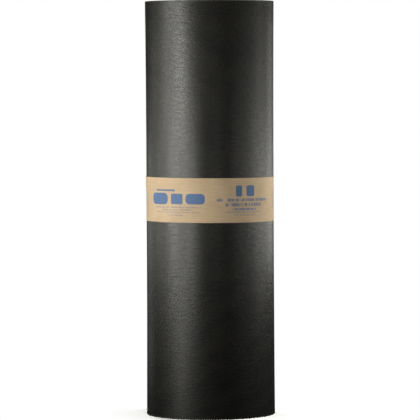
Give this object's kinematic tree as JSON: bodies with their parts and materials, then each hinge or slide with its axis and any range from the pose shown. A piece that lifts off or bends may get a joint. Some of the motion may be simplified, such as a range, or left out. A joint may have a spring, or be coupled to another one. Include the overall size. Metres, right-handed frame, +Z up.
{
  "type": "roll of roofing felt",
  "caption": "Coreless roll of dark asphalt-saturated roofing felt standing on its end, with an open bore, its turns showing at both ends and a kraft paper band round its waist.",
  "frame": {"origin": "centre of the end that the roll stands on", "axes": "+Z up along the roll's axis; +X to the right and -Y towards the side that shows the printed front of the band"},
  "size_m": [0.2869, 0.287, 0.9144],
  "materials": {
    "felt": "satin black asphalt-saturated organic felt with fine fibre streaks",
    "kraft": "matte natural kraft paper with blue ink"
  },
  "bodies": {
    "root": {"felt_roll": "felt", "label_band": "kraft"}
  },
  "joints": []
}
